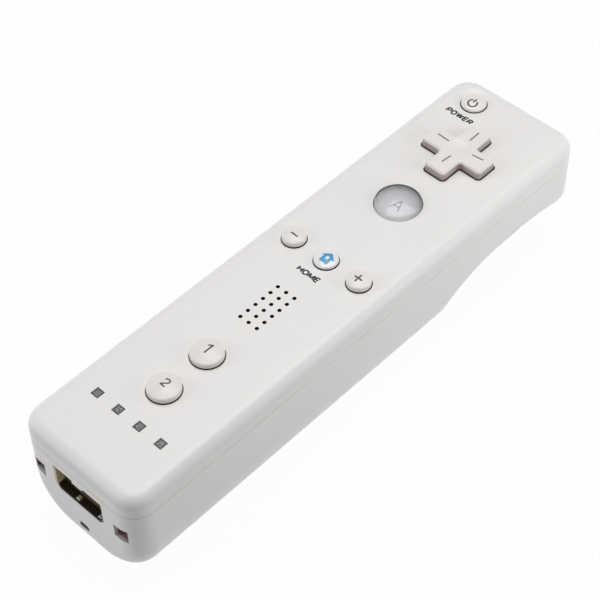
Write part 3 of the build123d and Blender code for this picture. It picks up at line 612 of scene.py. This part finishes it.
def steel(name, colour, dull, roughness):
    """Rolled or drawn steel: fine lines along the strip and faint clouding."""
    line_spread = 0.18
    metal = Finish(name, metallic=1.0)
    stretched = metal.node("ShaderNodeMapping", {}, {"Vector": metal.place, "Scale": (8.0, 0.4, 8.0)})
    lines = metal.noise(2.0, 4.0, stretched)
    metal.set(
        base_color=metal.blend(lines, colour, dull),
        roughness=lines * line_spread + (roughness - line_spread / 2),
        normal=metal.bump(lines, 0.004),
    )
    return metal


shell_steel = steel("shell_steel", rgb(206, 186, 146), rgb(160, 138, 102), 0.35)
shell_steel.set(metallic=0.3)
shell_steel.dress("connector_shell")


def port_outline(grow):
    """The socket's opening seen from its end, its two lower corners cut off."""
    side, low, high, cut = 7.6 + grow, 15.2 - grow, 23.0 + grow, 1.3
    upper = [(-side, high), (side, high)]
    lower = [(side, low + cut), (side - cut, low), (cut - side, low), (-side, low + cut)]
    return np.array(upper + lower)


lip_back, lip_mouth, lip_gap, lip_thickness = -71.95, -73.85, 0.03, 0.3
outer_lip, inner_lip = port_outline(-lip_gap), port_outline(-lip_gap - lip_thickness)
loops = [(outer_lip, lip_back), (outer_lip, lip_mouth), (inner_lip, lip_mouth), (inner_lip, lip_back)]
lip_points = np.vstack(
    [np.column_stack([loop[:, 0], np.full(len(loop), y), loop[:, 1]]) for loop, y in loops]
)
count = len(outer_lip)
here, step = np.arange(len(loops))[:, None] * count, np.arange(count)
after, follow = np.roll(here, -1, 0), np.roll(step, -1)
lip_faces = np.stack([here + follow, here + step, after + step, after + follow], 2).reshape(-1, 4)
lip = into_mesh("socket_lip", lip_points, lip_faces.tolist())
# The lip's colour is painted shade, dark all round, and painted light, pale beige on its left wall.
lip_shade_and_light = steel("lip_painted_shade_and_light", rgb(72, 56, 42), rgb(50, 38, 29), 0.4)
painted_lit_wall_x = -7.0
painted_lit_wall = lip_shade_and_light.axis("X") < painted_lit_wall_x * mm
lip_shade_and_light.set(base_color=lip_shade_and_light.blend(painted_lit_wall, rgb(42, 32, 25), rgb(250, 232, 190)), metallic=0.2)
lip.data.materials.append(lip_shade_and_light.material)
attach(lip, "case")


def tab(centre, half=0.6, rise=0.32, rows=7):
    """A raised square spring end: height rise * (1 - u^12)(1 - v^12) over a grid
    of u and v from -1 to 1, closed underneath by the same grid laid flat."""
    u, v = np.meshgrid(np.linspace(-1, 1, rows), np.linspace(-1, 1, rows), indexing="ij")
    top = np.stack([u * half, v * half, rise * (1 - u**12) * (1 - v**12)], 2).reshape(-1, 3)
    base = top * (1, 1, 0) - (0, 0, 0.05)
    row, column = np.meshgrid(np.arange(rows - 1), np.arange(rows - 1), indexing="ij")
    first = (row * rows + column).ravel()
    quads = np.stack([first, first + rows, first + rows + 1, first + 1], 1)
    border = np.concatenate(
        [
            np.arange(rows),
            np.arange(2, rows) * rows - 1,
            np.arange(rows * rows - 1, rows * (rows - 1) - 1, -1),
            np.arange(rows - 2, 0, -1) * rows,
        ]
    )
    follow, below_top = np.roll(border, -1), rows * rows
    walls = np.stack([follow, border, border + below_top, follow + below_top], 1)
    faces = np.vstack([quads, quads[:, ::-1] + below_top, walls[:, ::-1]])
    return np.vstack([top, base]) + centre, faces


tab_y, tab_z = -72.9, 15.6
tabs = [tab((x, tab_y, tab_z)) for x in (-1.4, 5.6)]
tab_points = np.vstack([points for points, faces in tabs])
tab_faces = np.vstack([faces + index * len(tabs[0][0]) for index, (points, faces) in enumerate(tabs)])
tab_piece = into_mesh("socket_tabs", tab_points, tab_faces.tolist())
tab_steel = steel("tab_steel", rgb(222, 214, 200), rgb(186, 176, 160), 0.4)
tab_steel.set(metallic=0.2)
tab_piece.data.materials.append(tab_steel.material)
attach(tab_piece, "case")

# The blade, the pointer camera, the cross pad's ball and the pairing switch
# are moulded in a black plastic that is slightly brown with dust.

dark = moulded("black_plastic", rgb(34, 27, 24), rgb(48, 38, 33), 0.38)
dark.dress("connector_insulator", "pointer_camera", "dpad_pivot", "sync_switch")

# The screws, the trigger's pin, the cell contacts and springs, the motor and
# the radio's can are bright drawn or rolled steel.

bright = steel("bright_steel", rgb(205, 204, 200), rgb(176, 174, 170), 0.28)
bright.dress("case_screws", "trigger_pin", "contact_plates", "contact_springs")
bright.dress("motor_can", "motor_shaft", "motor_weight", "radio_module")

# The trigger is moulded in the buttons' white and turns on its pin. The
# pairing button behind the cells is a small red moulding.

trigger_finish = moulded("trigger_plastic", cap_white, cap_worn, 0.32, 0.003)
trigger_finish.dress("trigger")
red = moulded("red_plastic", rgb(196, 44, 38), rgb(178, 36, 32), 0.35)
red.dress("sync_button")

# The two round cells wear a plain shrink sleeve, a little wrinkled, with one
# pale band. They lie side by side and point opposite ways.

sleeve = Finish("cell_jacket", roughness=0.3)
band_y = (-10.5, -4.5)
band = sleeve.axis("Y").within(*band_y)
wrinkles = sleeve.noise(0.3, 3.0)
sleeve.set(
    base_color=sleeve.blend(band * 0.85, rgb(58, 92, 104), rgb(206, 208, 204)),
    roughness=wrinkles * 0.1 + 0.24,
    normal=sleeve.bump(wrinkles, 0.02),
)
sleeve.dress("battery_left", "battery_right")

# The circuit board is a green glass laminate with masked tracks. Its chips are
# dark resin, its lights' packages pale resin, and its capacitors wear sleeves.

laminate = Finish("board_laminate", roughness=0.35)
tracks = laminate.node(
    "ShaderNodeTexBrick",
    {"offset": 0.37, "squash": 1.6},
    {"Vector": laminate.place, "Scale": 1.0 / mm, "Mortar Size": 0.06, "Brick Width": 3.1, "Row Height": 0.8},
    "Fac",
)
laminate.set(
    base_color=laminate.blend(tracks, rgb(24, 84, 52), rgb(46, 118, 72)),
    normal=laminate.bump(tracks, 0.03),
)
laminate.dress("main_board")
resin = moulded("chip_resin", rgb(32, 32, 34), rgb(44, 44, 46), 0.5, 0.01)
resin.dress("processor", "motion_sensor", "memory_chip")
package = moulded("led_package", rgb(232, 226, 190), rgb(222, 214, 176), 0.3)
package.dress("player_leds")
can = moulded("capacitor_sleeve", rgb(40, 44, 62), rgb(52, 56, 74), 0.3)
can.dress("capacitors")

# Grey silicone mats lie on the board, and their domes push the buttons back.
# Each button, pad arm and the trigger gets its own copy of its mat, in the
# mat's place. A mat under several of them is cut between.

rubber = moulded("keypad_rubber", rgb(176, 178, 182), rgb(164, 166, 170), 0.6, 0.008)
rubber.dress("power_keypad", "a_keypad", "menu_keypad", "number_keypad", "dpad_keypad", "trigger_keypad")


def soft_dome(name, node, cuts=()):
    """A merged copy of a CAD mat, which hides the mat. Each cut is a point and the
    outward direction of a plane that trims the copy, and the cut is filled."""
    shape = bmesh.new()
    shape.from_mesh(nodes[node].data)
    bmesh.ops.remove_doubles(shape, verts=shape.verts, dist=0.001 * mm)
    for point, outward in cuts:
        parts = [*shape.verts, *shape.edges, *shape.faces]
        cut = bmesh.ops.bisect_plane(
            shape, geom=parts, plane_co=Vector(point) * mm, plane_no=outward, clear_outer=True
        )
        rim = [part for part in cut["geom_cut"] if isinstance(part, bmesh.types.BMEdge)]
        bmesh.ops.edgeloop_fill(shape, edges=rim)
    bmesh.ops.recalc_face_normals(shape, faces=shape.faces)
    mesh = bpy.data.meshes.new(name)
    shape.to_mesh(mesh)
    shape.free()
    mesh.materials.clear()
    mesh.materials.append(rubber.material)
    piece = bpy.data.objects.new(name, mesh)
    bpy.context.scene.collection.objects.link(piece)
    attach(piece, "case")
    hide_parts(node)
    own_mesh(piece)


menu_cut, number_cut = 5.05, -41.25
soft_dome("trigger_dome", "trigger_keypad")
soft_dome("power_dome", "power_keypad")
soft_dome("a_dome", "a_keypad")
left_cut, right_cut = (-menu_cut, 0, 0), (menu_cut, 0, 0)
middle = [(left_cut, (-1, 0, 0)), (right_cut, (1, 0, 0))]
soft_dome("minus_dome", "menu_keypad", [(left_cut, (1, 0, 0))])
soft_dome("home_dome", "menu_keypad", middle)
soft_dome("plus_dome", "menu_keypad", [(right_cut, (-1, 0, 0))])
soft_dome("one_dome", "number_keypad", [((0, number_cut, 0), (0, -1, 0))])
soft_dome("two_dome", "number_keypad", [((0, number_cut, 0), (0, 1, 0))])
for arm, joint, x, y in (
    ("front", "dpad_tilt_front_back", 0, 1),
    ("back", "dpad_tilt_front_back", 0, -1),
    ("left", "dpad_tilt_left_right", -1, 0),
    ("right", "dpad_tilt_left_right", 1, 0),
):
    cuts = [((0, pad_y, 0), (-x - y * side, -y + x * side, 0)) for side in (-1, 1)]
    soft_dome(f"{arm}_pad_dome", "dpad_keypad", cuts)

# The wand lies on a seamless white table under one large soft box. Three weak
# ones fill its left, its right side and its end. The table and the room look
# white to the camera, and light the wand far less.

table = Finish("table_white", roughness=0.9)
table_grain = table.noise(0.5, 2.0)
table.set(base_color=table.blend(table_grain, rgb(218, 218, 218), rgb(213, 213, 213)))
table_glow, room_glow = 0.97, 0.13
glow = table.node("ShaderNodeEmission", {}, {})
lit = table.node("ShaderNodeMixShader", {}, {0: table.seen() * table_glow, 1: table.surface, 2: glow})
table.tree.links.new(lit.socket, table.output.inputs["Surface"])
half, level = 3000.0, -0.05
corners = [(-half, -half, level), (half, -half, level), (half, half, level), (-half, half, level)]
floor = into_mesh("table", corners, [(0, 1, 2, 3)])
floor.data.materials.append(table.material)

world = bpy.data.worlds.new("studio")
bpy.context.scene.world = world
world.use_nodes = True
sky = Graph(world.node_tree)
room_light = sky.node("ShaderNodeBackground", {}, {"Color": (1, 1, 1, 1), "Strength": room_glow})
white = sky.node("ShaderNodeBackground", {}, {"Color": (1, 1, 1, 1), "Strength": 1.0})
mixed = sky.node("ShaderNodeMixShader", {}, {0: sky.seen(), 1: room_light, 2: white})
sky.node("ShaderNodeOutputWorld", {}, {"Surface": mixed})


def soft_box(name, place, aim, size, power, mirrored=False):
    """A square soft box that looks from its place towards a point, both in
    millimetres. Its size is in metres and its power in watts. Only the large
    one is mirrored in glossy surfaces."""
    lamp = bpy.data.lights.new(name, "AREA")
    lamp.shape = "SQUARE"
    lamp.size = size
    lamp.energy = power
    holder = bpy.data.objects.new(name, lamp)
    bpy.context.scene.collection.objects.link(holder)
    away = Vector(place) - Vector(aim)
    turn = away.to_track_quat("Z", "Y").to_matrix().to_4x4()
    holder.matrix_world = Matrix.Translation(Vector(place) * mm) @ turn
    holder.visible_camera = False
    holder.visible_glossy = mirrored


soft_box("key", (-60, 200, 900), (0, 0, 15), 0.7, 5.05, mirrored=True)
soft_box("left_fill", (-500, 100, 600), (0, 0, 15), 0.5, 0.7)
soft_box("side_fill", (200, 110, 90), (18, 40, 15), 0.12, 0.185)
soft_box("end_fill", (-330, -430, 260), (0, -60, 15), 0.3, 0.9)

# The camera stands above the wand's right side and its connector end, with the
# angles and the long lens that were fitted to the photo.

azimuth, elevation, roll = np.radians([44.938, 49.237, 1.601])
camera_place = (0.17913, -0.18530, 0.31872)
level_back = np.array([np.sin(azimuth), -np.cos(azimuth), 0.0])
back = level_back * np.cos(elevation) + (0, 0, np.sin(elevation))
right = np.array([np.cos(azimuth), np.sin(azimuth), 0.0])
up = np.cross(back, right)
tilted = np.array(
    [np.cos(roll) * right - np.sin(roll) * up, np.sin(roll) * right + np.cos(roll) * up, back]
)
camera = bpy.data.cameras.new("camera")
camera.lens = 102.03
camera.sensor_width = 36.0
camera.clip_start = 0.01
camera.clip_end = 20.0
view_point = bpy.data.objects.new("camera", camera)
bpy.context.scene.collection.objects.link(view_point)
pose = np.eye(4)
pose[:3, :3] = tilted.T
pose[:3, 3] = camera_place
view_point.matrix_world = Matrix(pose.tolist())
bpy.context.scene.camera = view_point
bpy.context.scene.view_settings.view_transform = "Standard"
